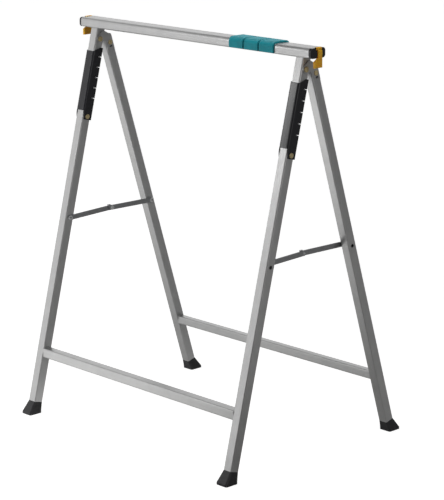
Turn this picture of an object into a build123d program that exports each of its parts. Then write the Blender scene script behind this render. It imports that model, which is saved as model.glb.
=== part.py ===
from build123d import *
import os
from math import acos, asin, atan2, cos, hypot, sin

# Folding sawhorse. X runs along the beam, -Y is the front and +Z is up.
# The origin is on the floor, midway between the front and the rear feet.
# Pieces are drawn for the right-hand end (+X) and mirrored to the left. Millimetres.

# Overall size
HEIGHT = 783.0           # floor to the top of the beam tube
STANCE = 432.6           # front leg axis to rear leg axis, at the floor
LEG_INSET = 30.5         # end of the beam tube in to a leg's axis
BEAM_FORWARD = 24.0      # the beam's middle, in front of the middle of the stance

# Steel tubes
BEAM_LENGTH = 635.0
BEAM_WIDE = 38.0
BEAM_TALL = 19.0
BEAM_CORNER = 6.0
BEAM_WALL = 1.5
LEG = 20.0               # square leg tube
LEG_CORNER = 2.5
LEG_WALL = 1.5
BAR_FRONT = 19.0         # square tube of the front crossbar
BAR_REAR = 16.5          # square tube of the rear crossbar
BAR_FRONT_HEIGHT = 122.5  # floor to the middle of the front crossbar
BAR_REAR_HEIGHT = 118.5   # floor to the middle of the rear crossbar

# Hinge between the front and the rear legs
HINGE_DROP = 22.0        # pivot below the beam's underside
FOLD_GAP = 2.0           # between the leg faces when the frames are folded together
SIDE_GAP = 0.3           # between faces that swing past each other
EAR_SHEET = 1.5          # thickness of the hinge bracket's sheet
EAR_RADIUS = 7.5         # rounded end of the bracket around the pivot
BRACKET_RISE = 12.0      # bracket above the pivot, along the rear leg
BRACKET_LENGTH = 43.0    # bracket's whole length, along the rear leg
BRACKET_PEAK = 11.0      # middle of the bracket's top, behind the pivot
BRACKET_FLAT = 7.0       # length of the top before it falls to the rear
BRACKET_BEND = 2.0       # inside corner of the bracket's outline
BRACKET_ROUND = 4.0      # outside corners of the bracket's top
BRACKET_WEB = 7.0        # height of the wall that joins the bracket's two sides
BRACKET_RIVET_DROP = 16.0  # bracket's rivet below the pivot, along the rear leg
SLOT_DROP = 24.5         # slot below the pivot, along the rear leg
SLOT_LONG = 7.0
SLOT_TALL = 3.6
LEG_END_GAP = 0.8        # rear leg's upper end to the front leg's rear face
HINGE_PIN = 6.0          # diameter
RIVET = 5.0              # diameter of the other rivets
HEAD_SPREAD = 2.4        # how far a rivet head stands out around its shank
HEAD_TALL = 1.8
HEAD_ROUND = 1.1
RIVET_BORE = 3.2         # hollow of the tubular rivets
TURN_FIT = 0.06          # radial clearance of a pin that a piece turns on
SEAT_FIT = 0.02          # radial clearance of a pin that stays still in its hole
ACCESS_HOLE = 7.0        # hole in a leg's outer wall, in line with a stay's rivet

# Folding stays between the legs
STAY_FRONT_HEIGHT = 390.3  # floor to the pivot on the front leg
STAY_REAR_HEIGHT = 393.8   # floor to the pivot on the rear leg
STAY_RISE = 2.7          # middle pivot above the line between the two leg pivots
STRIP_WIDE = 10.0
STRIP_SHEET = 2.0
STOP_NEAR = 3.5          # stop tab, from the middle pivot to its near side
STOP_LONG = 6.0
STOP_SHEET = 1.6
STOP_GAP = 0.3           # tab above the strip that it rests on

# Support arms on the front legs
ARM_TOP_GAP = 17.0       # hinge pivot down to the top of the arm, along the leg
ARM_LENGTH = 140.0       # arm's pivot to its top
ARM_TAIL = 6.5           # arm's pivot to its lower end
ARM_SHEET = 1.5          # thickness of the channel
ARM_SIDE_GAP = 0.4       # side walls to the leg
ARM_FRONT_GAP = 0.4      # front wall to the leg
ARM_BACK = 1.2           # side walls past the leg's rear face
ARM_WEB_START = 11.0     # pivot to the lower end of the front wall
ARM_SLOPE = 10.0         # the front wall ends this far below the arm's top
ARM_CORNER = 4.5         # rounding between the front wall and the side walls
ARM_LIP = 6.0            # flat top of the side walls at the rear
NOTCH_FIRST = 38.0       # arm's pivot to the first notch
NOTCH_PITCH = 20.9
NOTCH_COUNT = 5
NOTCH_MOUTH = 1.0        # width of a notch at the arm's rear edge
NOTCH_SEAT = 4.6         # diameter of the round seat at the end of a notch
NOTCH_DEEP = 5.8         # rear edge to the middle of the seat

# Feet
FOOT_TOP = 23.5          # lower end of the leg tube, along the leg from the floor
FOOT_WIDE = 28.0
FOOT_DEEP = 30.0
FOOT_OUT = 4.6           # middle of the sole, outwards from the leg's axis
FOOT_CORNER = 4.0
SOLE = 4.0               # upright rim of the sole
PLUG_LENGTH = 28.0       # part of the foot inside the leg
PLUG_FIT = 0.1           # plug to the inside of its tube

# End caps and flip-up stops of the beam
CAP_FLANGE = 5.5
CAP_PLUG = 18.0
CAP_ROUND = 0.8
STOP_PIN = 2.0           # diameter
STOP_PIN_DROP = 1.8      # below the top of the beam
STOP_PIN_IN = 2.4        # in from the cap's outer face
STOP_PIN_SEAT = 3.0      # length of pin in the cap, each side of the hub
HUB_RADIUS = 2.9
HUB_WIDE = 14.0          # flush with the blade's rear side
BLADE_WIDE = 11.0
BLADE_SHEET = 4.8
BLADE_PROUD = 1.5        # blade outside the cap's face
BLADE_GAP = 0.5          # blade to the sides of its slot
TAB_WIDE = 19.0
TAB_DROP = 17.5          # tab's lower edge below the beam's underside
TAB_GAP = 1.0            # tab's upper edge below the beam's underside
TAB_SHOULDER = 5.0       # height over which the tab widens, on its front side
TAB_ROUND = 0.8

# Grip pads clipped over the beam
PAD_COUNT = 3
PAD_LENGTH = 37.0
PAD_PITCH = 39.6
PAD_WALL = 3.2
PAD_FIT = 0.1
PAD_LIFT = 2.0           # lower edge of a pad above the beam's underside
PAD_END_GAP = 87.0       # last pad to the end of the beam tube
PAD_ROUND = 1.0

# Least rounding kept inside a tube
INNER_CORNER = 0.3

# Places worked out from these sizes
underside = HEIGHT - BEAM_TALL
beam_y = -BEAM_FORWARD
beam_z = HEIGHT - BEAM_TALL / 2
beam_end = BEAM_LENGTH / 2
leg_x = beam_end - LEG_INSET
inner_face = leg_x - LEG / 2
axis_gap = LEG + FOLD_GAP
side = Vector(1, 0, 0)

front_lean = atan2(STANCE / 2 - BEAM_FORWARD, underside)
front_up = Vector(0, sin(front_lean), cos(front_lean))
front_back = Vector(0, cos(front_lean), -sin(front_lean))
front_foot = Vector(leg_x, -STANCE / 2, 0)
hinge_reach = (underside - HINGE_DROP) / cos(front_lean)
hinge = front_foot + front_up * hinge_reach

rear_foot = Vector(leg_x, STANCE / 2, 0)
hinge_span = hinge - rear_foot
rear_lean = atan2(-hinge_span.Y, hinge_span.Z) - asin(axis_gap / hinge_span.length)
rear_up = Vector(0, -sin(rear_lean), cos(rear_lean))
rear_back = Vector(0, cos(rear_lean), sin(rear_lean))
rear_hinge_reach = hinge_span.dot(rear_up)
fold = front_lean + rear_lean
rear_end_rise = ((axis_gap - LEG / 2) * cos(fold) - LEG / 2 - LEG_END_GAP) / sin(fold)

stay_front = front_foot + front_up * (STAY_FRONT_HEIGHT / cos(front_lean))
stay_rear = rear_foot + rear_up * (STAY_REAR_HEIGHT / cos(rear_lean))
stay_middle = (stay_front + stay_rear) * 0.5 + Vector(0, 0, STAY_RISE)
arm_pivot = hinge - front_up * (ARM_TOP_GAP + ARM_LENGTH)
stop_pivot = Vector(beam_end + CAP_FLANGE - STOP_PIN_IN, beam_y, HEIGHT - STOP_PIN_DROP)

# Layers of the stay, inwards from the legs' inner faces
front_strip_out = inner_face - SIDE_GAP
front_strip_in = front_strip_out - STRIP_SHEET
rear_strip_out = front_strip_in - SIDE_GAP
rear_strip_in = rear_strip_out - STRIP_SHEET


def at_x(point, x):
    """The same point moved to another place along the beam."""
    return Vector(x, point.Y, point.Z)


def across(point):
    """A plane facing +X at a point, with Y to its right and Z up."""
    return Plane(origin=point, x_dir=(0, 1, 0), z_dir=side)


def leg_side(point, back):
    """A plane facing +X at a point, with the leg's rear to its right and the leg upright."""
    return Plane(origin=point, x_dir=back, z_dir=side)


def finish(piece, name):
    """Label a piece and write it out."""
    piece.part.label = name
    export_step(piece.part, f"parts/{name}.step")


def finish_pair(piece, name):
    """Write a right-hand piece, and its mirror image for the left."""
    finish(piece, name + "_right")
    with BuildPart() as twin:
        mirror(piece.part, about=Plane.YZ)
    finish(twin, name + "_left")


def hollow_rectangle(wide, tall, corner, wall):
    """Draw the section of a rounded rectangular tube."""
    RectangleRounded(wide, tall, corner)
    inner_corner = max(corner - wall, INNER_CORNER)
    RectangleRounded(wide - 2 * wall, tall - 2 * wall, inner_corner, mode=Mode.SUBTRACT)


def cross_hole(point, diameter, reach):
    """Cut a round hole along X, from a point outwards by a reach."""
    with BuildSketch(across(point)) as hole:
        Circle(diameter / 2)
    extrude(hole.sketch, amount=reach, mode=Mode.SUBTRACT)


def turned_pin(start, steps, rounded, bore=0.0):
    """A round pin along +X from a start point, as (length, radius) steps, with rounded end rims."""
    whole = sum(length for length, radius in steps)
    with BuildPart() as pin:
        place = start
        for length, radius in steps:
            with BuildSketch(across(place)):
                Circle(radius)
            extrude(amount=length)
            place = place + side * length
        for end in rounded:
            fillet(pin.faces().sort_by(Axis.X)[end].edges(), HEAD_ROUND)
        if bore:
            cross_hole(start, bore, whole)
    return pin


os.makedirs("parts", exist_ok=True)

# Beam: a flat rounded tube
with BuildPart() as beam_tube:
    with BuildSketch(across(Vector(-beam_end, beam_y, beam_z))):
        hollow_rectangle(BEAM_WIDE, BEAM_TALL, BEAM_CORNER, BEAM_WALL)
    extrude(amount=BEAM_LENGTH)
finish(beam_tube, "beam_tube")

# End cap: a flange over the tube's end, a plug inside it, and room for the flip-up stop's hub and blade
cap_face = beam_end + CAP_FLANGE
blade_out = cap_face + BLADE_PROUD
blade_in = blade_out - BLADE_SHEET
blade_y = beam_y + (TAB_WIDE - BLADE_WIDE) / 2
hub_y = beam_y + (TAB_WIDE - HUB_WIDE) / 2
hub_room = HUB_RADIUS + BLADE_GAP
hub_plane = Plane(origin=(stop_pivot.X, hub_y, stop_pivot.Z), x_dir=side, z_dir=(0, -1, 0))
with BuildPart() as end_cap:
    with BuildSketch(across(Vector(beam_end, beam_y, beam_z))):
        RectangleRounded(BEAM_WIDE, BEAM_TALL, BEAM_CORNER)
    extrude(amount=CAP_FLANGE)
    fillet(end_cap.faces().sort_by(Axis.X)[-1].edges(), CAP_ROUND)
    with BuildSketch(across(Vector(beam_end, beam_y, beam_z))):
        plug_inset = 2 * (BEAM_WALL + PLUG_FIT)
        plug_corner = max(BEAM_CORNER - BEAM_WALL - PLUG_FIT, INNER_CORNER)
        RectangleRounded(BEAM_WIDE - plug_inset, BEAM_TALL - plug_inset, plug_corner)
    extrude(amount=-CAP_PLUG)
    with BuildSketch(hub_plane):
        Rectangle(2 * hub_room, 2 * hub_room)
    extrude(amount=HUB_WIDE / 2 + BLADE_GAP, both=True, mode=Mode.SUBTRACT)
    with BuildSketch(across(Vector(blade_in - BLADE_GAP, blade_y, beam_z))):
        Rectangle(BLADE_WIDE + 2 * BLADE_GAP, 2 * BEAM_TALL)
    extrude(amount=BLADE_SHEET + BLADE_GAP, mode=Mode.SUBTRACT)
    with BuildSketch(hub_plane):
        Circle(STOP_PIN / 2 + SEAT_FIT)
    extrude(amount=HUB_WIDE / 2 + STOP_PIN_SEAT, both=True, mode=Mode.SUBTRACT)
finish_pair(end_cap, "end_cap")

# Pin of the flip-up stop, across the cap
with BuildPart() as stop_pin:
    with BuildSketch(hub_plane):
        Circle(STOP_PIN / 2)
    extrude(amount=HUB_WIDE / 2 + STOP_PIN_SEAT, both=True)
finish_pair(stop_pin, "stop_pin")

# Flip-up stop: a hub on the pin, a blade down the end of the beam, and a finger tab that widens below it.
# The blade stays behind the hub's rim as far down as the pin is below the beam's top,
# so that it clears the tube when it is turned up.
tab_top = underside - TAB_GAP
tab_bottom = underside - TAB_DROP
blade_front = TAB_WIDE / 2 - BLADE_WIDE
neck_low = stop_pivot.Z - STOP_PIN_DROP - BLADE_GAP
with BuildPart() as flip_stop:
    with BuildSketch(across(Vector(blade_in, beam_y, 0))):
        with BuildLine():
            Polyline(
                (TAB_WIDE / 2, stop_pivot.Z),
                (TAB_WIDE / 2, tab_bottom),
                (-TAB_WIDE / 2, tab_bottom),
                (-TAB_WIDE / 2, tab_top - TAB_SHOULDER),
                (blade_front, tab_top),
                (blade_front, stop_pivot.Z),
                close=True,
            )
        make_face()
    extrude(amount=BLADE_SHEET)
    fillet(flip_stop.faces().filter_by(Axis.X).edges().filter_by(lambda edge: edge.center().Z < tab_top), TAB_ROUND)
    with BuildSketch(Plane.XZ.offset(-beam_y)):
        with BuildLine():
            Polyline(
                (stop_pivot.X + HUB_RADIUS, stop_pivot.Z),
                (stop_pivot.X + HUB_RADIUS, neck_low),
                (blade_out, neck_low - BLADE_PROUD),
                (blade_out, stop_pivot.Z),
                close=True,
            )
        make_face()
    extrude(amount=TAB_WIDE, both=True, mode=Mode.SUBTRACT)
    with BuildSketch(hub_plane):
        Circle(HUB_RADIUS)
    extrude(amount=HUB_WIDE / 2, both=True)
    with BuildSketch(hub_plane):
        Circle(STOP_PIN / 2 + TURN_FIT)
    extrude(amount=HUB_WIDE, both=True, mode=Mode.SUBTRACT)
finish_pair(flip_stop, "flip_stop")

# Grip pads: short sleeves, open below, clipped over the beam near its right-hand end
pad_out = 2 * (PAD_FIT + PAD_WALL)
for number in range(PAD_COUNT):
    pad_start = beam_end - PAD_END_GAP - PAD_LENGTH - (PAD_COUNT - 1 - number) * PAD_PITCH
    with BuildPart() as grip_pad:
        with BuildSketch(across(Vector(pad_start, beam_y, beam_z))):
            RectangleRounded(BEAM_WIDE + pad_out, BEAM_TALL + pad_out, BEAM_CORNER + pad_out / 2)
        extrude(amount=PAD_LENGTH)
        fillet(grip_pad.faces().filter_by(Axis.X).edges(), PAD_ROUND)
        with BuildSketch(across(Vector(pad_start, beam_y, beam_z))):
            RectangleRounded(BEAM_WIDE + 2 * PAD_FIT, BEAM_TALL + 2 * PAD_FIT, BEAM_CORNER + PAD_FIT)
        extrude(amount=PAD_LENGTH, mode=Mode.SUBTRACT)
        split(bisect_by=Plane.XY.offset(underside + PAD_LIFT), keep=Keep.TOP)
    finish(grip_pad, f"grip_pad_{number + 1}")

# Front legs: square tubes cut level under the beam
with BuildPart() as front_leg:
    with BuildSketch(Plane(origin=front_foot + front_up * FOOT_TOP, x_dir=side, z_dir=front_up)):
        hollow_rectangle(LEG, LEG, LEG_CORNER, LEG_WALL)
    extrude(amount=HEIGHT / cos(front_lean))
    split(bisect_by=Plane.XY.offset(underside), keep=Keep.BOTTOM)
    cross_hole(at_x(hinge, inner_face), HINGE_PIN + 2 * SEAT_FIT, LEG)
    cross_hole(at_x(arm_pivot, inner_face), RIVET + 2 * SEAT_FIT, LEG)
    cross_hole(at_x(stay_front, inner_face), RIVET + 2 * SEAT_FIT, LEG / 2)
    cross_hole(stay_front, ACCESS_HOLE, LEG / 2)
finish_pair(front_leg, "front_leg")

# Rear legs: square tubes that end below the beam, beside the hinge
slot_place = (0, rear_hinge_reach - SLOT_DROP)
with BuildPart() as rear_leg:
    with BuildSketch(Plane(origin=rear_foot + rear_up * FOOT_TOP, x_dir=side, z_dir=rear_up)):
        hollow_rectangle(LEG, LEG, LEG_CORNER, LEG_WALL)
    extrude(amount=rear_hinge_reach + rear_end_rise - FOOT_TOP)
    bracket_rivet_point = rear_foot + rear_up * (rear_hinge_reach - BRACKET_RIVET_DROP)
    cross_hole(at_x(bracket_rivet_point, inner_face), RIVET + 2 * SEAT_FIT, LEG)
    with BuildSketch(leg_side(at_x(rear_foot, inner_face), rear_back)):
        with Locations(slot_place):
            SlotOverall(SLOT_LONG, SLOT_TALL)
    extrude(amount=LEG, mode=Mode.SUBTRACT)
    cross_hole(at_x(stay_rear, inner_face), RIVET + 2 * SEAT_FIT, LEG / 2)
    cross_hole(stay_rear, ACCESS_HOLE, LEG / 2)
finish_pair(rear_leg, "rear_leg")

# Crossbars: square tubes between the legs' inner faces
for name, foot, up, height, bar in (
    ("front_crossbar", front_foot, front_up, BAR_FRONT_HEIGHT, BAR_FRONT),
    ("rear_crossbar", rear_foot, rear_up, BAR_REAR_HEIGHT, BAR_REAR),
):
    bar_middle = foot + up * (height / up.Z)
    with BuildPart() as crossbar:
        with BuildSketch(across(at_x(bar_middle, -inner_face))):
            hollow_rectangle(bar, bar, LEG_CORNER, LEG_WALL)
        extrude(amount=2 * inner_face)
    finish(crossbar, name)

# Feet: flared soles with a plug inside the leg
for name, foot, up, outward in (
    ("front_foot", front_foot, front_up, -1),
    ("rear_foot", rear_foot, rear_up, 1),
):
    leg_end = Plane(origin=foot + up * FOOT_TOP, x_dir=side, z_dir=up)
    sole_middle = (leg_x, foot.Y + outward * FOOT_OUT)
    with BuildPart() as foot_piece:
        with BuildSketch(Plane.XY.offset(SOLE)):
            with Locations(sole_middle):
                RectangleRounded(FOOT_WIDE, FOOT_DEEP, FOOT_CORNER)
        with BuildSketch(leg_end):
            RectangleRounded(LEG, LEG, LEG_CORNER)
        loft()
        with BuildSketch(Plane.XY):
            with Locations(sole_middle):
                RectangleRounded(FOOT_WIDE, FOOT_DEEP, FOOT_CORNER)
        extrude(amount=SOLE)
        with BuildSketch(leg_end):
            plug = LEG - 2 * (LEG_WALL + PLUG_FIT)
            RectangleRounded(plug, plug, max(LEG_CORNER - LEG_WALL - PLUG_FIT, INNER_CORNER))
        extrude(amount=PLUG_LENGTH)
    finish_pair(foot_piece, name)

# Hinge bracket: a sheet folded into a U, whose sides hold the rear leg and reach past the front leg.
# Its short front wall lies between the two legs when they are folded together.
ear_inside = LEG / 2 + SIDE_GAP
ear_outside = ear_inside + EAR_SHEET
front_face = axis_gap - LEG / 2
bracket_rear = axis_gap + LEG / 2 - LEG_CORNER
bracket_low = BRACKET_RISE - BRACKET_LENGTH
peak_front = BRACKET_PEAK - BRACKET_FLAT / 2
peak_rear = BRACKET_PEAK + BRACKET_FLAT / 2
# Angle at which a line from the front of the top touches the round end
touch = atan2(BRACKET_RISE, peak_front) + acos(EAR_RADIUS / hypot(BRACKET_RISE, peak_front))
with BuildPart() as hinge_bracket:
    ear_plane = leg_side(at_x(hinge, leg_x - ear_outside), rear_back)
    with BuildSketch(ear_plane) as ear:
        with BuildLine():
            Polyline(
                (0, -EAR_RADIUS),
                (front_face, -EAR_RADIUS),
                (front_face, bracket_low),
                (bracket_rear, bracket_low),
                (bracket_rear, peak_rear - bracket_rear + BRACKET_RISE),
                (peak_rear, BRACKET_RISE),
                (peak_front, BRACKET_RISE),
                (EAR_RADIUS * cos(touch), EAR_RADIUS * sin(touch)),
                close=True,
            )
        make_face()
        fillet(ear.vertices().sort_by(Axis.Y)[-2:], BRACKET_ROUND)
        Circle(EAR_RADIUS)
    extrude(amount=2 * ear_outside)
    inside_corner = hinge + rear_back * front_face - rear_up * EAR_RADIUS
    fillet(hinge_bracket.edges().filter_by(Axis.X).sort_by_distance(inside_corner)[0], BRACKET_BEND)
    with BuildSketch(leg_side(at_x(hinge, leg_x - ear_inside), rear_back)):
        Rectangle(4 * LEG, 4 * BRACKET_LENGTH)
    extrude(amount=2 * ear_inside, mode=Mode.SUBTRACT)
    with BuildSketch(ear_plane):
        with Locations((front_face - EAR_SHEET / 2, -EAR_RADIUS - BRACKET_WEB / 2)):
            Rectangle(EAR_SHEET, BRACKET_WEB)
    extrude(amount=2 * ear_outside)
    cross_hole(at_x(hinge, leg_x - ear_outside), HINGE_PIN + 2 * TURN_FIT, 2 * ear_outside)
    cross_hole(at_x(bracket_rivet_point, leg_x - ear_outside), RIVET + 2 * SEAT_FIT, 2 * ear_outside)
    with BuildSketch(ear_plane):
        with Locations((axis_gap, -SLOT_DROP)):
            SlotOverall(SLOT_LONG, SLOT_TALL)
    extrude(amount=2 * ear_outside, mode=Mode.SUBTRACT)
finish_pair(hinge_bracket, "hinge_bracket")

# Hinge pin through the front leg and the bracket's ears, and the rivet that holds the bracket
for name, place, diameter, head_gap in (
    ("hinge_pin", hinge, HINGE_PIN, SIDE_GAP),
    ("bracket_rivet", bracket_rivet_point, RIVET, 0),
):
    head = (HEAD_TALL, diameter / 2 + HEAD_SPREAD)
    shank = (2 * (ear_outside + head_gap), diameter / 2)
    start = at_x(place, leg_x - ear_outside - head_gap - HEAD_TALL)
    finish_pair(turned_pin(start, (head, shank, head), (0, -1)), name)

# Support arm: a channel round the leg, notched along the rear edges of its side walls.
# Its section is drawn longer than needed to the rear, and cut to its outline from the side.
arm_inside = LEG / 2 + ARM_SIDE_GAP
arm_outside = arm_inside + ARM_SHEET
web_back = -LEG / 2 - ARM_FRONT_GAP
web_front = web_back - ARM_SHEET
arm_rear = LEG / 2 + ARM_BACK
with BuildPart() as support_arm:
    with BuildSketch(Plane(origin=arm_pivot - front_up * ARM_TAIL, x_dir=side, z_dir=front_up)):
        with Locations((0, web_front + LEG)):
            RectangleRounded(2 * arm_outside, 2 * LEG, ARM_CORNER)
        with Locations((0, web_back + 2 * LEG)):
            RectangleRounded(2 * arm_inside, 4 * LEG, ARM_CORNER - ARM_SHEET, mode=Mode.SUBTRACT)
    extrude(amount=ARM_LENGTH + ARM_TAIL)
    arm_plane = leg_side(at_x(arm_pivot, leg_x - arm_outside), front_back)
    with BuildSketch(arm_plane):
        with BuildLine():
            Polyline(
                (arm_rear, -ARM_TAIL),
                (arm_rear, ARM_LENGTH),
                (arm_rear - ARM_LIP, ARM_LENGTH),
                (web_front, ARM_LENGTH - ARM_SLOPE),
                (web_front, ARM_WEB_START),
                (-ARM_TAIL, -ARM_TAIL),
                close=True,
            )
        make_face()
        for step in range(NOTCH_COUNT):
            notch = NOTCH_FIRST + step * NOTCH_PITCH
            with Locations((arm_rear - NOTCH_DEEP, notch)):
                Circle(NOTCH_SEAT / 2, mode=Mode.SUBTRACT)
            with Locations((arm_rear - NOTCH_DEEP / 2, notch)):
                Rectangle(NOTCH_DEEP, NOTCH_MOUTH, mode=Mode.SUBTRACT)
    extrude(amount=2 * arm_outside, mode=Mode.INTERSECT)
    with BuildSketch(leg_side(at_x(arm_pivot, leg_x - arm_inside), front_back)):
        with Locations((web_back, 0)):
            Rectangle(2 * LEG, 2 * ARM_WEB_START)
    extrude(amount=2 * arm_inside, mode=Mode.SUBTRACT)
    cross_hole(at_x(arm_pivot, leg_x - arm_outside), RIVET + 2 * TURN_FIT, 2 * arm_outside)
finish_pair(support_arm, "support_arm")

# Pin of the support arm, through its side walls and the leg
arm_head = (HEAD_TALL, RIVET / 2 + HEAD_SPREAD)
arm_shank = (2 * (arm_outside + SIDE_GAP), RIVET / 2)
arm_pin_start = at_x(arm_pivot, leg_x - arm_outside - SIDE_GAP - HEAD_TALL)
finish_pair(turned_pin(arm_pin_start, (arm_head, arm_shank, arm_head), (0, -1)), "arm_pin")

# Stay strips: flat bars with rounded ends, turning on rivets at both ends
front_run = at_x(stay_middle - stay_front, 0)
rear_run = at_x(stay_rear - stay_middle, 0)
with BuildPart() as stay_front_strip:
    middle = at_x((stay_front + stay_middle) * 0.5, front_strip_in)
    with BuildSketch(Plane(origin=middle, x_dir=front_run, z_dir=side)):
        SlotCenterToCenter(front_run.length, STRIP_WIDE)
    extrude(amount=STRIP_SHEET)
    cross_hole(at_x(stay_front, front_strip_in), RIVET + 2 * TURN_FIT, STRIP_SHEET)
    cross_hole(at_x(stay_middle, front_strip_in), RIVET + 2 * SEAT_FIT, STRIP_SHEET)
finish_pair(stay_front_strip, "stay_front_strip")

# The rear strip reaches past the middle pivot, and its stop tab rests over the front strip
stop_low = STRIP_WIDE / 2 + STOP_GAP
stop_high = stop_low + STOP_SHEET
with BuildPart() as stay_rear_strip:
    middle = at_x((stay_middle + stay_rear) * 0.5, rear_strip_in)
    with BuildSketch(Plane(origin=middle, x_dir=rear_run, z_dir=side)):
        SlotCenterToCenter(rear_run.length, STRIP_WIDE)
    extrude(amount=STRIP_SHEET)
    stop_plane = Plane(origin=at_x(stay_middle, rear_strip_in), x_dir=rear_run, z_dir=side)
    stop_middle = -STOP_NEAR - STOP_LONG / 2
    with BuildSketch(stop_plane):
        with Locations((stop_middle, stop_high / 2)):
            Rectangle(STOP_LONG, stop_high)
        with Locations((stop_middle / 2, 0)):
            Rectangle(-stop_middle, STRIP_WIDE)
    extrude(amount=STRIP_SHEET)
    with BuildSketch(stop_plane):
        with Locations((stop_middle, (stop_low + stop_high) / 2)):
            Rectangle(STOP_LONG, STOP_SHEET)
    extrude(amount=2 * STRIP_SHEET + SIDE_GAP)
    cross_hole(at_x(stay_middle, rear_strip_in), RIVET + 2 * TURN_FIT, STRIP_SHEET)
    cross_hole(at_x(stay_rear, rear_strip_in), RIVET + 2 * SEAT_FIT, STRIP_SHEET)
finish_pair(stay_rear_strip, "stay_rear_strip")

# Spacers that carry the rear strips clear of the front strips' layer
stay_head = (HEAD_TALL, RIVET / 2 + HEAD_SPREAD)
spacer_thick = inner_face - rear_strip_out - SIDE_GAP
with BuildPart() as stay_spacer:
    with BuildSketch(across(at_x(stay_rear, inner_face - spacer_thick))):
        Circle(STRIP_WIDE / 2)
        Circle(RIVET / 2 + SEAT_FIT, mode=Mode.SUBTRACT)
    extrude(amount=spacer_thick)
finish_pair(stay_spacer, "stay_spacer")

# Tubular rivets of the stays: on the front leg, at the middle, and at the rear end of the rear strip
front_rivet_start = at_x(stay_front, front_strip_in - SIDE_GAP - HEAD_TALL)
front_shank = (STRIP_SHEET + 2 * SIDE_GAP + LEG_WALL, RIVET / 2)
inner_flare = (LEG_WALL, RIVET / 2 + LEG_WALL)
front_rivet = turned_pin(front_rivet_start, (stay_head, front_shank, inner_flare), (0,), RIVET_BORE)
finish_pair(front_rivet, "stay_front_rivet")

middle_rivet_start = at_x(stay_middle, rear_strip_in - SIDE_GAP - HEAD_TALL)
middle_shank = (front_strip_out - rear_strip_in + SIDE_GAP, RIVET / 2)
finish_pair(turned_pin(middle_rivet_start, (stay_head, middle_shank), (0,), RIVET_BORE), "stay_middle_rivet")

rear_rivet_start = at_x(stay_rear, rear_strip_in - HEAD_TALL)
rear_shank = (STRIP_SHEET, RIVET / 2)
finish_pair(turned_pin(rear_rivet_start, (stay_head, rear_shank), (0,), RIVET_BORE), "stay_rear_rivet")
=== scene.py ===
import math

import bpy
import numpy as np
from mathutils import Matrix, Vector


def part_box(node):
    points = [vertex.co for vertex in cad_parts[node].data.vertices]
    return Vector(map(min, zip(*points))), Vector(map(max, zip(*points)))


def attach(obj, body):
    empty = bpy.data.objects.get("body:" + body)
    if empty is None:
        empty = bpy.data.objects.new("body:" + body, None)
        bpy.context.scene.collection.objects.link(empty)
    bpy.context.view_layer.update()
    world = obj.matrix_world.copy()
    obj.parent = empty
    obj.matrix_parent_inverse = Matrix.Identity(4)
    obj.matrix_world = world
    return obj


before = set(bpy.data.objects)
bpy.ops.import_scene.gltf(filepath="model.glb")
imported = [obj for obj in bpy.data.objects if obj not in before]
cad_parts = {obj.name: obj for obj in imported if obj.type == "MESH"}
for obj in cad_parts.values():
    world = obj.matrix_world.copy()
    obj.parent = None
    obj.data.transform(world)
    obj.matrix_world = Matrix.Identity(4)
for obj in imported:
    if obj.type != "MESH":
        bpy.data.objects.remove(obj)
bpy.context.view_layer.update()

bl_info = {
    "name": "Folding Sawhorse",
    "version": (1, 0, 0),
    "blender": (4, 5, 0),
    "location": "View3D > Sidebar > Sawhorse",
    "description": "Gives a folding sawhorse its finishes and welds, and sets up its studio",
    "category": "Object",
}

MM = 0.001
SIDES = {"left": -1, "right": 1}


def linear(code):
    """An sRGB hex colour as three linear values."""
    values = np.array([int(code[i:i + 2], 16) for i in (1, 3, 5)]) / 255
    straight = np.where(values <= 0.04045, values / 12.92, ((values + 0.055) / 1.055) ** 2.4)
    return tuple(float(value) for value in straight)


def add(tree, kind, inputs=None, to=None, **settings):
    """Add a node, set its attributes, give its inputs values or other nodes' sockets, and link it on."""
    made = tree.nodes.new(kind)
    for name, value in settings.items():
        setattr(made, name, value)
    for name, value in (inputs or {}).items():
        if isinstance(value, bpy.types.NodeSocket):
            tree.links.new(value, made.inputs[name])
        else:
            made.inputs[name].default_value = value
    if to is not None:
        tree.links.new(made.outputs[0], to)
    return made


def begin(name, colour, roughness, **shine):
    """A material, its tree and shader, and the piece's own coordinates in metres."""
    material = bpy.data.materials.new(name)
    material.use_nodes = True
    tree = material.node_tree
    shader = tree.nodes["Principled BSDF"]
    shader.inputs["Base Color"].default_value = (*colour, 1)
    shader.inputs["Roughness"].default_value = roughness
    for socket, value in shine.items():
        shader.inputs[socket.replace("_", " ")].default_value = value
    return material, tree, shader, add(tree, "ShaderNodeTexCoord").outputs["Object"]


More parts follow.
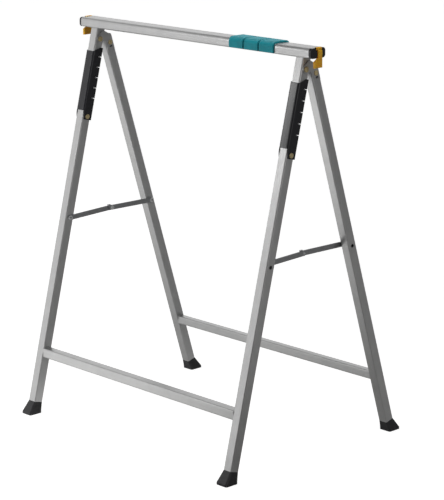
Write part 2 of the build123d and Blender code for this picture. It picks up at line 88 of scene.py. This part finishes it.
def silver_paint(name, colour, roughness, flake, along):
    """Silver paint with aluminium flakes, sprayed on drawn steel tube.

    The eye sees a soft metallic sheen that darkens where it faces a dark part of the room, a faint
    cloudiness from the spray, and fine lines along the tube from its drawing. The lines are really
    a few hundredths of a millimetre apart; they are drawn 1.5 mm apart to show. The small value of
    along is the axis on which they are stretched.
    """
    cloud_size, line_size, line_depth = 28 * MM, 1.5 * MM, 0.04 * MM
    material, tree, shader, place = begin(name, colour, roughness, Metallic=flake)
    cloud = add(tree, "ShaderNodeTexNoise", {"Vector": place, "Scale": 1 / cloud_size, "Detail": 3.0})
    stretched = add(tree, "ShaderNodeMapping", {"Vector": place, "Scale": along})
    lines = add(tree, "ShaderNodeTexNoise", {"Vector": stretched.outputs[0], "Scale": 1 / line_size,
                                             "Detail": 2.0})
    both = add(tree, "ShaderNodeMath", {0: cloud.outputs[0], 1: lines.outputs[0]}, operation="ADD")
    share = add(tree, "ShaderNodeMapRange", {"Value": both.outputs[0], "From Min": 0.6, "From Max": 1.4,
                                             "To Min": 0.92, "To Max": 1.07})
    add(tree, "ShaderNodeVectorMath", {0: colour, "Scale": share.outputs[0]}, operation="SCALE",
        to=shader.inputs["Base Color"])
    add(tree, "ShaderNodeMapRange", {"Value": lines.outputs[0], "From Min": 0.3, "From Max": 0.7,
                                     "To Min": roughness - 0.05, "To Max": roughness + 0.06},
        to=shader.inputs["Roughness"])
    add(tree, "ShaderNodeBump", {"Height": lines.outputs[0], "Distance": line_depth, "Strength": 0.05},
        to=shader.inputs["Normal"])
    return material


def zinc_plate(name, colour, roughness):
    """Rivet steel, zinc-plated and passivated: dull metal, tinted by the bath, with darker clouds."""
    cloud_size = 3 * MM
    material, tree, shader, place = begin(name, colour, roughness, Metallic=1.0)
    cloud = add(tree, "ShaderNodeTexNoise", {"Vector": place, "Scale": 1 / cloud_size, "Detail": 4.0})
    share = add(tree, "ShaderNodeMapRange", {"Value": cloud.outputs[0], "From Min": 0.3, "From Max": 0.7,
                                             "To Min": 0.65, "To Max": 1.15})
    add(tree, "ShaderNodeVectorMath", {0: colour, "Scale": share.outputs[0]}, operation="SCALE",
        to=shader.inputs["Base Color"])
    add(tree, "ShaderNodeMapRange", {"Value": cloud.outputs[0], "From Min": 0.3, "From Max": 0.7,
                                     "To Min": roughness - 0.08, "To Max": roughness + 0.1},
        to=shader.inputs["Roughness"])
    return material


def moulded(name, colour, roughness, grain, depth, **shine):
    """Plastic or rubber from a spark-eroded mould: an even colour with a fine grain that breaks the sheen.

    The real grain is about a tenth of a millimetre; it is drawn coarser so that it shows.
    """
    cloud_size = 18 * MM
    material, tree, shader, place = begin(name, colour, roughness, **shine)
    fine = add(tree, "ShaderNodeTexNoise", {"Vector": place, "Scale": 1 / grain, "Detail": 3.0})
    broad = add(tree, "ShaderNodeTexNoise", {"Vector": place, "Scale": 1 / cloud_size, "Detail": 2.0})
    share = add(tree, "ShaderNodeMapRange", {"Value": broad.outputs[0], "From Min": 0.3, "From Max": 0.7,
                                             "To Min": 0.9, "To Max": 1.08})
    add(tree, "ShaderNodeVectorMath", {0: colour, "Scale": share.outputs[0]}, operation="SCALE",
        to=shader.inputs["Base Color"])
    add(tree, "ShaderNodeMapRange", {"Value": fine.outputs[0], "From Min": 0.3, "From Max": 0.7,
                                     "To Min": 0.85 * roughness, "To Max": 1.2 * roughness},
        to=shader.inputs["Roughness"])
    add(tree, "ShaderNodeBump", {"Height": fine.outputs[0], "Distance": depth, "Strength": 0.5},
        to=shader.inputs["Normal"])
    return material


def paint_nodes(material, *names):
    """Give CAD nodes a material."""
    for name in names:
        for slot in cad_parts[name].material_slots:
            slot.material = material


def both_sides(*names):
    """The names of left and right nodes."""
    return [f"{name}_{side}" for name in names for side in SIDES]


def skin(name, rings, material, body):
    """A closed surface through a loop of rings, an array of rings by points by three.

    Neighbouring rings are joined by quads round the ring, and the last ring joins the first one. Faces
    are turned to point outwards.
    """
    count, around = rings.shape[:2]
    index = np.arange(count * around).reshape(count, around)
    ahead = np.roll(index, -1, 0)
    quads = np.stack([index, np.roll(index, -1, 1), np.roll(ahead, -1, 1), ahead], axis=-1).reshape(-1, 4)
    points = rings.reshape(-1, 3)
    corners = points[quads]
    facing = np.cross(corners[:, 1] - corners[:, 0], corners[:, 3] - corners[:, 0])
    outward = np.sum(facing * (corners.mean(1) - points.mean(0)))
    mesh = bpy.data.meshes.new(name)
    mesh.from_pydata(points.tolist(), [], (quads if outward > 0 else quads[:, ::-1]).tolist())
    mesh.shade_smooth()
    mesh.materials.append(material)
    piece = bpy.data.objects.new(name, mesh)
    bpy.context.scene.collection.objects.link(piece)
    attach(piece, body)


def rounded_outline(half_wide, half_tall, corner, step):
    """Points at even steps round a rounded rectangle, their outward directions, and how far along they lie.

    Each corner is a quarter circle about a point set in by the radius, and the sides join them.
    """
    corner_points = 64
    turn = np.linspace(0, 2 * np.pi, corner_points, endpoint=False) + np.pi / corner_points
    outline = np.stack([np.sign(np.cos(turn)) * (half_wide - corner) + corner * np.cos(turn),
                        np.sign(np.sin(turn)) * (half_tall - corner) + corner * np.sin(turn)], axis=-1)
    looped = np.vstack([outline, outline[:1]])
    run = np.concatenate([[0], np.cumsum(np.linalg.norm(np.diff(looped, axis=0), axis=1))])
    places = np.linspace(0, run[-1], int(run[-1] / step), endpoint=False)
    points = np.stack([np.interp(places, run, looped[:, axis]) for axis in (0, 1)], axis=-1)
    heading = np.roll(points, -1, 0) - np.roll(points, 1, 0)
    heading /= np.linalg.norm(heading, axis=1)[:, None]
    return points, np.stack([heading[:, 1], -heading[:, 0]], axis=-1), places


def weld_rings(centre, across, up, half_wide, half_tall, corner, bead, pitch):
    """A bead round a tube's end: a circle carried round a rounded rectangle.

    The circle is sunk into the tube by most of its radius, which swells and shrinks along the way by
    a cosine of one pitch per ripple.
    """
    sunk, swell = 0.7 * bead, 0.12
    rings_per_ripple, sides = 6, 12
    points, outward, places = rounded_outline(half_wide - sunk, half_tall - sunk, corner - sunk,
                                              pitch / rings_per_ripple)
    length = places[-1] + places[1]
    ripples = round(length / pitch)
    radius = bead * (1 + swell * np.cos(2 * np.pi * ripples * places / length))
    turn = np.linspace(0, 2 * np.pi, sides, endpoint=False)
    across, up = np.array(across), np.array(up)
    middle = np.array(centre) + points[:, :1] * across + points[:, 1:] * up
    away = outward[:, :1] * across + outward[:, 1:] * up
    along = np.cross(across, up)
    circle = np.cos(turn)[None, :, None] * away[:, None] + np.sin(turn)[None, :, None] * along
    return middle[:, None] + radius[:, None, None] * circle


class SawhorseFinish(bpy.types.PropertyGroup):
    """Colours and gloss of the sawhorse."""
    silver: bpy.props.FloatVectorProperty(
        name="Silver paint", description="Colour of the tubes and brackets", subtype="COLOR",
        default=linear("#bdbdbd"), min=0, max=1)
    silver_roughness: bpy.props.FloatProperty(
        name="Paint roughness", description="How softly the paint reflects", subtype="FACTOR",
        default=0.33, min=0, max=1)
    silver_flake: bpy.props.FloatProperty(
        name="Paint flake", description="How metallic the silver paint is", subtype="FACTOR",
        default=0.8, min=0, max=1)
    strip: bpy.props.FloatVectorProperty(
        name="Stay strips", description="Colour of the folding stays", subtype="COLOR",
        default=linear("#9a9b9d"), min=0, max=1)
    zinc: bpy.props.FloatVectorProperty(
        name="Pins", description="Colour of the yellow zinc plate on the pins", subtype="COLOR",
        default=linear("#cdbd94"), min=0, max=1)
    bright_zinc: bpy.props.FloatVectorProperty(
        name="Stay rivets", description="Colour of the bright zinc plate on the stays' rivets",
        subtype="COLOR", default=linear("#dfe0e1"), min=0, max=1)
    black: bpy.props.FloatVectorProperty(
        name="Black plastic", description="Colour of the caps and support arms", subtype="COLOR",
        default=linear("#26262a"), min=0, max=1)
    rubber: bpy.props.FloatVectorProperty(
        name="Rubber", description="Colour of the feet", subtype="COLOR",
        default=linear("#2a2a2c"), min=0, max=1)
    yellow: bpy.props.FloatVectorProperty(
        name="Yellow plastic", description="Colour of the flip-up stops", subtype="COLOR",
        default=linear("#eeb226"), min=0, max=1)
    teal: bpy.props.FloatVectorProperty(
        name="Teal pads", description="Colour of the grip pads", subtype="COLOR",
        default=linear("#108c98"), min=0, max=1)


class SawhorseDetail(bpy.types.PropertyGroup):
    """Sizes of the pieces that are added to the frame."""
    weld_bead: bpy.props.FloatProperty(
        name="Weld bead", description="Radius of a weld bead", subtype="DISTANCE", unit="LENGTH",
        default=1.3 * MM, min=0.2 * MM, max=4 * MM)
    weld_pitch: bpy.props.FloatProperty(
        name="Weld ripple", description="Length of one ripple of a weld", subtype="DISTANCE",
        unit="LENGTH", default=2.6 * MM, min=0.5 * MM, max=8 * MM)
    tube_corner: bpy.props.FloatProperty(
        name="Tube corner", description="Outside rounding of the legs and crossbars", subtype="DISTANCE",
        unit="LENGTH", default=2.5 * MM, min=0, max=8 * MM)


class SawhorseStage(bpy.types.PropertyGroup):
    """Camera and light of the studio."""
    azimuth: bpy.props.FloatProperty(
        name="Azimuth", description="Camera's turn round the object", subtype="ANGLE",
        default=math.radians(46.74))
    elevation: bpy.props.FloatProperty(
        name="Elevation", description="Camera's height above the horizon", subtype="ANGLE",
        default=math.radians(13.88))
    roll: bpy.props.FloatProperty(
        name="Roll", description="Camera's tilt about its own view", subtype="ANGLE",
        default=math.radians(-0.41))
    distance: bpy.props.FloatProperty(
        name="Distance", description="Camera to the point that it looks at", subtype="DISTANCE",
        unit="LENGTH", default=3.91167)
    target: bpy.props.FloatVectorProperty(
        name="Target", description="Point that the camera looks at", subtype="XYZ", unit="LENGTH",
        default=(0.04072, 0.0027, 0.35749))
    lens: bpy.props.FloatProperty(
        name="Lens", description="Focal length on a 36 mm sensor, in millimetres", unit="CAMERA",
        default=145.05)
    floor: bpy.props.FloatVectorProperty(
        name="Floor", description="Colour of the floor", subtype="COLOR", default=linear("#a9a9a7"),
        min=0, max=1)
    floor_glow: bpy.props.FloatProperty(
        name="Floor glow", description="What lifts the floor near the object to white for the viewer",
        default=0.92, min=0)
    fill: bpy.props.FloatProperty(
        name="Fill", description="Strength of the soft light from all round", default=0.03, min=0)
    key: bpy.props.FloatProperty(
        name="Key lamp", description="Power of the near lamp at the front left", unit="POWER", default=7.8,
        min=0)
    top: bpy.props.FloatProperty(
        name="Top lamp", description="Power of the lamp overhead", unit="POWER", default=2.6, min=0)
    rim: bpy.props.FloatProperty(
        name="Right lamp", description="Power of the lamp on the right", unit="POWER", default=17.0, min=0)
    left: bpy.props.FloatProperty(
        name="Left lamp", description="Power of the lamp on the left", unit="POWER", default=10.0, min=0)
    softbox: bpy.props.FloatProperty(
        name="Softbox", description="Power of the small softbox at the front left", unit="POWER",
        default=0.58, min=0)


class SAWHORSE_OT_tubes(bpy.types.Operator):
    """Paint the beam, the legs, the crossbars and the hinge brackets"""
    bl_idname = "sawhorse.tubes"
    bl_label = "Painted Tubes"

    def execute(self, context):
        finish = context.scene.sawhorse_finish
        upright = silver_paint("silver_flake_paint_on_legs", finish.silver, finish.silver_roughness,
                               finish.silver_flake, along=(1, 1, 0.02))
        level = silver_paint("silver_flake_paint_on_beam", finish.silver, finish.silver_roughness,
                             finish.silver_flake, along=(0.02, 1, 1))
        paint_nodes(upright, *both_sides("front_leg", "rear_leg", "hinge_bracket"))
        paint_nodes(level, "beam_tube", "front_crossbar", "rear_crossbar")
        return {"FINISHED"}


class SAWHORSE_OT_stays(bpy.types.Operator):
    """Paint the strips and spacers of the folding stays"""
    bl_idname = "sawhorse.stays"
    bl_label = "Folding Stays"

    def execute(self, context):
        finish = context.scene.sawhorse_finish
        paint = silver_paint("grey_flake_paint_on_strips", finish.strip, finish.silver_roughness,
                             finish.silver_flake, along=(1, 0.02, 1))
        paint_nodes(paint, *both_sides("stay_front_strip", "stay_rear_strip", "stay_spacer"))
        return {"FINISHED"}


class SAWHORSE_OT_rivets(bpy.types.Operator):
    """Plate the hinge pins, arm pins and rivets"""
    bl_idname = "sawhorse.rivets"
    bl_label = "Rivets and Pins"

    def execute(self, context):
        finish = context.scene.sawhorse_finish
        # The bath leaves the pins straw-coloured. The stays' rivets stay a clear grey.
        yellow = zinc_plate("yellow_zinc_plated_pin_steel", finish.zinc, roughness=0.55)
        bright = zinc_plate("bright_zinc_plated_rivet_steel", finish.bright_zinc, roughness=0.55)
        paint_nodes(yellow, *both_sides("hinge_pin", "bracket_rivet", "arm_pin", "stop_pin"))
        paint_nodes(bright, *both_sides("stay_front_rivet", "stay_middle_rivet", "stay_rear_rivet"))
        return {"FINISHED"}


class SAWHORSE_OT_black_pieces(bpy.types.Operator):
    """Finish the end caps and the support arms"""
    bl_idname = "sawhorse.black_pieces"
    bl_label = "Caps and Support Arms"

    def execute(self, context):
        # Nylon is nearly smooth: its faces are black, or show the bright side of the room.
        plastic = moulded("black_nylon_moulded", context.scene.sawhorse_finish.black, roughness=0.1,
                          grain=0.9 * MM, depth=0.004 * MM, Specular_IOR_Level=0.4)
        paint_nodes(plastic, *both_sides("end_cap", "support_arm"))
        return {"FINISHED"}


class SAWHORSE_OT_feet(bpy.types.Operator):
    """Finish the rubber feet"""
    bl_idname = "sawhorse.feet"
    bl_label = "Rubber Feet"

    def execute(self, context):
        # Rubber is dull, with a broad soft sheen.
        rubber = moulded("black_rubber_moulded", context.scene.sawhorse_finish.rubber, roughness=0.48,
                         grain=1.1 * MM, depth=0.05 * MM, Specular_IOR_Level=0.5)
        paint_nodes(rubber, *both_sides("front_foot", "rear_foot"))
        return {"FINISHED"}


class SAWHORSE_OT_stops(bpy.types.Operator):
    """Finish the yellow flip-up stops"""
    bl_idname = "sawhorse.stops"
    bl_label = "Flip-up Stops"

    def execute(self, context):
        # ABS has a satin sheen, and light sinks into it a little and comes out warmer.
        yellow = moulded("yellow_abs_moulded", context.scene.sawhorse_finish.yellow, roughness=0.4,
                         grain=0.8 * MM, depth=0.02 * MM, Subsurface_Weight=0.5,
                         Subsurface_Radius=(1.0, 0.7, 0.2), Subsurface_Scale=5 * MM)
        paint_nodes(yellow, *both_sides("flip_stop"))
        return {"FINISHED"}


class SAWHORSE_OT_pads(bpy.types.Operator):
    """Finish the teal grip pads"""
    bl_idname = "sawhorse.pads"
    bl_label = "Grip Pads"

    def execute(self, context):
        # Soft plastic is matt, and pale where it is seen at a low angle.
        teal = moulded("teal_soft_plastic_moulded", context.scene.sawhorse_finish.teal, roughness=0.5,
                       grain=1.2 * MM, depth=0.03 * MM, Specular_IOR_Level=0.4)
        paint_nodes(teal, *[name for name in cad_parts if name.startswith("grip_pad")])
        return {"FINISHED"}


class SAWHORSE_OT_welds(bpy.types.Operator):
    """Weld the crossbars to the legs, and the front legs to the beam"""
    bl_idname = "sawhorse.welds"
    bl_label = "Welds"

    def execute(self, context):
        detail = context.scene.sawhorse_detail
        paint = bpy.data.materials["silver_flake_paint_on_beam"]
        for end in ("front", "rear"):
            low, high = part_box(f"{end}_crossbar")
            middle = (low + high) / 2
            half = (high - low) / 2
            for side, sign in SIDES.items():
                place = (middle.x + sign * half.x, middle.y, middle.z)
                rings = weld_rings(place, (0, 1, 0), (0, 0, 1), half.y, half.z, detail.tube_corner,
                                   detail.weld_bead, detail.weld_pitch)
                skin(f"weld_{end}_bar_{side}", rings, paint, f"{end}_frame")
        beam_low, beam_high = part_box("beam_tube")
        for side in SIDES:
            low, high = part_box(f"front_leg_{side}")
            half = (high.x - low.x) / 2
            middle_y = (beam_low.y + beam_high.y) / 2
            place = ((low.x + high.x) / 2, middle_y, high.z)
            rings = weld_rings(place, (1, 0, 0), (0, 1, 0), half, high.y - middle_y, detail.tube_corner,
                               detail.weld_bead, detail.weld_pitch)
            skin(f"weld_beam_{side}", rings, paint, "front_frame")
        return {"FINISHED"}


class SAWHORSE_OT_stage(bpy.types.Operator):
    """Lay the floor, hang the lamps and set up the camera"""
    bl_idname = "sawhorse.stage"
    bl_label = "Studio"

    def execute(self, context):
        scene = context.scene
        stage = scene.sawhorse_stage
        self.lay_floor(scene, stage)
        self.light(scene, stage)
        self.place_camera(scene, stage)
        scene.view_settings.view_transform = "Standard"
        return {"FINISHED"}

    def lay_floor(self, scene, stage):
        """A pale floor that looks white and still takes the shadow, and white sheets for reflections.

        The sheets stand on the left, behind and in front, and one hangs overhead. They are hidden from
        the viewer, and the right side of the room is left dark.
        """
        reach, left, right, depth, tall = 40.0, -5.0, 1.5, 6.0, 4.7
        above, half = 5.0, 3.0
        near, far = 1.0, 2.6
        for name, glow, corners in (
            ("floor", None,
             ((-reach, -reach, 0), (reach, -reach, 0), (reach, reach, 0), (-reach, reach, 0))),
            ("left_wall", 1.0,
             ((left, -reach, 0), (left, reach, 0), (left, reach, tall), (left, -reach, tall))),
            ("back_wall", 0.75,
             ((left, depth, 0), (right, depth, 0), (right, depth, tall), (left, depth, tall))),
            ("front_wall", 0.75,
             ((left, -depth, 0), (right, -depth, 0), (right, -depth, tall), (left, -depth, tall))),
            ("ceiling", 0.6,
             ((-half, -half, above), (half, -half, above), (half, half, above), (-half, half, above))),
        ):
            material, tree, shader, place = begin(f"pale_paper_{name}", stage.floor, 0.9,
                                                  Specular_IOR_Level=0.0)
            shader.inputs["Emission Color"].default_value = (1, 1, 1, 1)
            path = add(tree, "ShaderNodeLightPath").outputs
            seen = add(tree, "ShaderNodeMath", {0: path["Is Camera Ray"], 1: path["Is Transmission Ray"]},
                       operation="MAXIMUM")
            away = add(tree, "ShaderNodeVectorMath", {0: place}, operation="LENGTH")
            white = add(tree, "ShaderNodeMapRange", {"Value": away.outputs["Value"], "From Min": near,
                                                     "From Max": far, "To Min": stage.floor_glow})
            # The floor's glow in reflections is painted: a painted pool of the key lamp's light, with
            # painted shade behind and on the right.
            share = self.painted_floor_reflection(tree, place) if glow is None else glow
            mirrored = add(tree, "ShaderNodeMath", {0: share, 1: path["Is Glossy Ray"]},
                           operation="MULTIPLY")
            add(tree, "ShaderNodeMath", {0: seen.outputs[0], 1: white.outputs[0], 2: mirrored.outputs[0]},
                operation="MULTIPLY_ADD", to=shader.inputs["Emission Strength"])
            mesh = bpy.data.meshes.new(name)
            mesh.from_pydata(corners, [], [(0, 1, 2, 3)])
            mesh.materials.append(material)
            sheet = bpy.data.objects.new(name, mesh)
            sheet.visible_camera = name == "floor"
            scene.collection.objects.link(sheet)

    def painted_floor_reflection(self, tree, place):
        """The floor's painted reflection: a glow that only reflections see, standing in for lamp light and
        shade.

        It is white in front on the left, where the key lamp falls, a painted pool of light, and dim behind
        and on the right, painted shade. Pale strips of painted reflection run outwards from the object
        along both of its axes, and widen as they go.
        """
        axes = add(tree, "ShaderNodeSeparateXYZ", {0: place}).outputs
        ahead = add(tree, "ShaderNodeMapRange", {"Value": axes["Y"], "From Min": 0.1, "From Max": -0.6,
                                                 "To Min": 0.3, "To Max": 1.0})
        left = add(tree, "ShaderNodeMapRange", {"Value": axes["X"], "From Min": 0.3, "From Max": -0.3,
                                                "To Min": 0.05})
        lit = add(tree, "ShaderNodeMath", {0: ahead.outputs[0], 1: left.outputs[0]}, operation="MULTIPLY")
        behind = add(tree, "ShaderNodeMapRange", {"Value": axes["Y"], "From Min": -0.15, "From Max": 0.4,
                                                  "To Max": 0.17})
        bright = add(tree, "ShaderNodeMath", {0: lit.outputs[0], 1: behind.outputs[0]}, operation="MAXIMUM")
        spread = add(tree, "ShaderNodeVectorMath", {0: place}, operation="ABSOLUTE")
        far = add(tree, "ShaderNodeSeparateXYZ", {0: spread.outputs[0]}).outputs
        for along, across, slope in (("Y", "X", -1.5), ("X", "Y", -2.2)):
            inside = add(tree, "ShaderNodeMath", {0: far[across], 1: slope, 2: far[along]},
                         operation="MULTIPLY_ADD")
            strip = add(tree, "ShaderNodeMapRange", {"Value": inside.outputs[0], "From Min": 0.7,
                                                     "From Max": 1.7, "To Max": 0.6})
            bright = add(tree, "ShaderNodeMath", {0: bright.outputs[0], 1: strip.outputs[0]},
                         operation="MAXIMUM")
        return bright.outputs[0]

    def light(self, scene, stage):
        """A near key lamp and a softbox at the front left, and lamps overhead and on both sides.

        Only the softbox and the right lamp show in reflections; the others stand behind grids.
        """
        world = bpy.data.worlds.new("studio")
        scene.world = world
        world.use_nodes = True
        tree = world.node_tree
        tree.nodes.clear()
        seen = add(tree, "ShaderNodeLightPath").outputs["Is Camera Ray"]
        strength = add(tree, "ShaderNodeMapRange", {"Value": seen, "To Min": stage.fill, "To Max": 1.0})
        plain = add(tree, "ShaderNodeBackground", {"Color": (1, 1, 1, 1), "Strength": strength.outputs[0]})
        add(tree, "ShaderNodeOutputWorld", {"Surface": plain.outputs[0]})
        aim = Vector((0, 0, 0.4))
        for name, power, place, wide, tall in (
            ("key_lamp", stage.key, (-0.36, -1.06, 0.4), 0.7, 0.6),
            ("top_lamp", stage.top, (0.0, 0.0, 1.2), 0.9, 0.25),
            ("right_lamp", stage.rim, (2.4, 0.1, 1.5), 2.2, 1.8),
            ("left_lamp", stage.left, (-2.2, 0.3, 0.9), 1.2, 1.2),
            ("softbox", stage.softbox, (-0.75, -1.05, 0.87), 0.08, 0.36),
        ):
            lamp = bpy.data.lights.new(name, "AREA")
            lamp.shape = "RECTANGLE"
            lamp.size, lamp.size_y, lamp.energy = wide, tall, power
            holder = bpy.data.objects.new(name, lamp)
            holder.location = place
            holder.rotation_euler = (aim - Vector(place)).to_track_quat("-Z", "Y").to_euler()
            scene.collection.objects.link(holder)
            holder.visible_glossy = name in ("softbox", "right_lamp")

    def place_camera(self, scene, stage):
        """Look at the target from the photo's angle, with its small roll."""
        turn, rise, tilt = stage.azimuth, stage.elevation, stage.roll
        back = Vector((math.sin(turn) * math.cos(rise), -math.cos(turn) * math.cos(rise), math.sin(rise)))
        level = Vector((math.cos(turn), math.sin(turn), 0))
        upright = back.cross(level)
        right = level * math.cos(tilt) + upright * math.sin(tilt)
        up = upright * math.cos(tilt) - level * math.sin(tilt)
        camera = bpy.data.objects.new("camera", bpy.data.cameras.new("camera"))
        camera.data.lens = stage.lens
        camera.data.sensor_width = 36.0
        place = Vector(stage.target) + back * stage.distance
        camera.matrix_world = Matrix.Translation(place) @ Matrix((right, up, back)).transposed().to_4x4()
        scene.collection.objects.link(camera)
        scene.camera = camera


OPERATORS = (
    SAWHORSE_OT_tubes, SAWHORSE_OT_stays, SAWHORSE_OT_rivets, SAWHORSE_OT_black_pieces,
    SAWHORSE_OT_feet, SAWHORSE_OT_stops, SAWHORSE_OT_pads, SAWHORSE_OT_welds, SAWHORSE_OT_stage,
)
GROUPS = {
    "sawhorse_finish": SawhorseFinish,
    "sawhorse_detail": SawhorseDetail,
    "sawhorse_stage": SawhorseStage,
}


class SAWHORSE_PT_panel(bpy.types.Panel):
    """The sawhorse's settings and steps"""
    bl_idname = "SAWHORSE_PT_panel"
    bl_label = "Folding Sawhorse"
    bl_space_type = "VIEW_3D"
    bl_region_type = "UI"
    bl_category = "Sawhorse"

    def draw(self, context):
        for name, group in GROUPS.items():
            box = self.layout.box()
            settings = getattr(context.scene, name)
            for setting in group.__annotations__:
                box.prop(settings, setting)
        for operator in OPERATORS:
            self.layout.operator(operator.bl_idname)


def register():
    for group in GROUPS.values():
        bpy.utils.register_class(group)
    for name, group in GROUPS.items():
        setattr(bpy.types.Scene, name, bpy.props.PointerProperty(type=group))
    for operator in OPERATORS:
        bpy.utils.register_class(operator)
    bpy.utils.register_class(SAWHORSE_PT_panel)


def unregister():
    bpy.utils.unregister_class(SAWHORSE_PT_panel)
    for operator in reversed(OPERATORS):
        bpy.utils.unregister_class(operator)
    for name in GROUPS:
        delattr(bpy.types.Scene, name)
    for group in reversed(GROUPS.values()):
        bpy.utils.unregister_class(group)


def main():
    register()
    for operator in OPERATORS:
        step = operator.bl_idname.split(".")[1]
        getattr(bpy.ops.sawhorse, step)()


if __name__ == "__main__":
    main()
